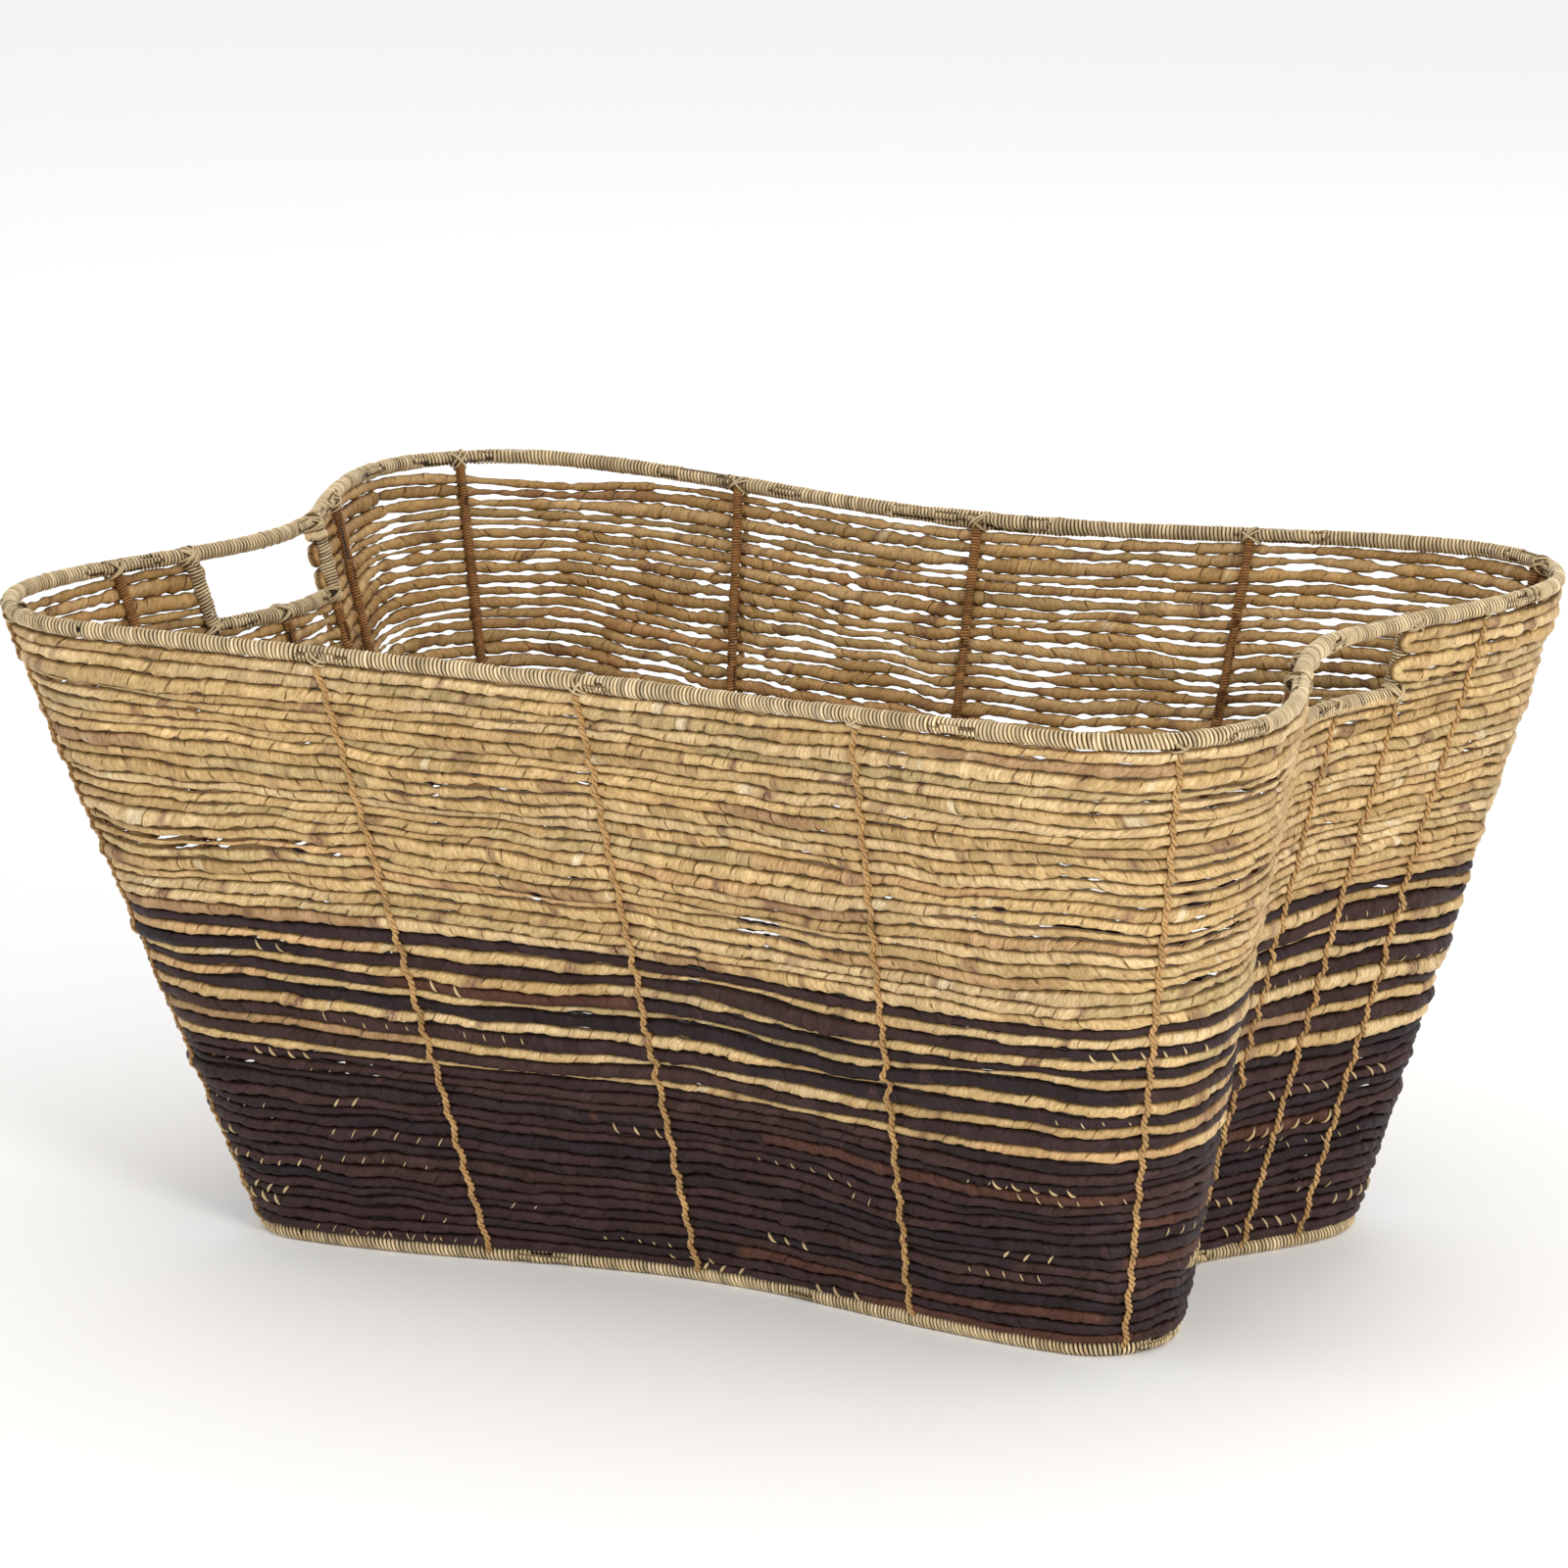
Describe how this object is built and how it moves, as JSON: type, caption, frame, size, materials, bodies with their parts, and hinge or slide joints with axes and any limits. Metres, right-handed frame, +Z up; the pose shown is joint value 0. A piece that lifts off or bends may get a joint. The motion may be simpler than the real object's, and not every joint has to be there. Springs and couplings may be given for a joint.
{
  "type": "log basket",
  "caption": "Flared four-lobed wicker log basket with a hand-hold at each end: twine-wrapped wire frame, natural, striped and dark rope courses.",
  "frame": {"origin": "on the floor, at the middle of the base", "axes": "+X along the length, +Y across the width, +Z up"},
  "size_m": [0.7976, 0.5836, 0.3876],
  "materials": {
    "frame_wire": "thin dull steel wire, hidden under twine",
    "seagrass_twine": "pale greenish-beige twine wound tightly",
    "brown_twine": "brown twine wound round the stakes",
    "lashing_cord": "thin twisted golden-brown cord",
    "natural_rope": "natural twisted banana-leaf rope, satin",
    "striped_rope": "alternating natural and dark banana-leaf rope",
    "dark_rope": "dyed dark purple-brown banana-leaf rope"
  },
  "bodies": {
    "root": {"rim_wire": "frame_wire", "base_wire": "frame_wire", "rim_wrap": "seagrass_twine", "base_wrap": "seagrass_twine", "left_sill_wire": "frame_wire", "right_sill_wire": "frame_wire", "left_sill_wrap": "seagrass_twine", "right_sill_wrap": "seagrass_twine", "front_left_stake": "frame_wire", "front_middle_stake": "frame_wire", "front_right_stake": "frame_wire", "back_left_stake": "frame_wire", "back_middle_stake": "frame_wire", "back_right_stake": "frame_wire", "front_left_lobe_stake": "frame_wire", "front_right_lobe_stake": "frame_wire", "back_left_lobe_stake": "frame_wire", "back_right_lobe_stake": "frame_wire", "right_front_flank_stake": "frame_wire", "right_back_flank_stake": "frame_wire", "left_front_flank_stake": "frame_wire", "left_back_flank_stake": "frame_wire", "right_front_post": "frame_wire", "right_back_post": "frame_wire", "left_front_post": "frame_wire", "left_back_post": "frame_wire", "right_sill_stake": "frame_wire", "left_sill_stake": "frame_wire", "stake_wraps": "brown_twine", "post_wraps": "seagrass_twine", "front_lashings": "lashing_cord", "back_lashings": "lashing_cord", "left_lashings": "lashing_cord", "right_lashings": "lashing_cord", "top_courses_front": "natural_rope", "top_courses_back": "natural_rope", "natural_courses_1": "natural_rope", "natural_courses_2": "natural_rope", "natural_courses_3": "natural_rope", "natural_courses_4": "natural_rope", "natural_courses_5": "natural_rope", "striped_courses_1": "striped_rope", "striped_courses_2": "striped_rope", "striped_courses_3": "striped_rope", "dark_courses_1": "dark_rope", "dark_courses_2": "dark_rope", "dark_courses_3": "dark_rope", "dark_courses_4": "dark_rope", "floor_cross_wires": "frame_wire", "floor_long_wires": "frame_wire", "floor_courses": "dark_rope"}
  },
  "joints": []
}
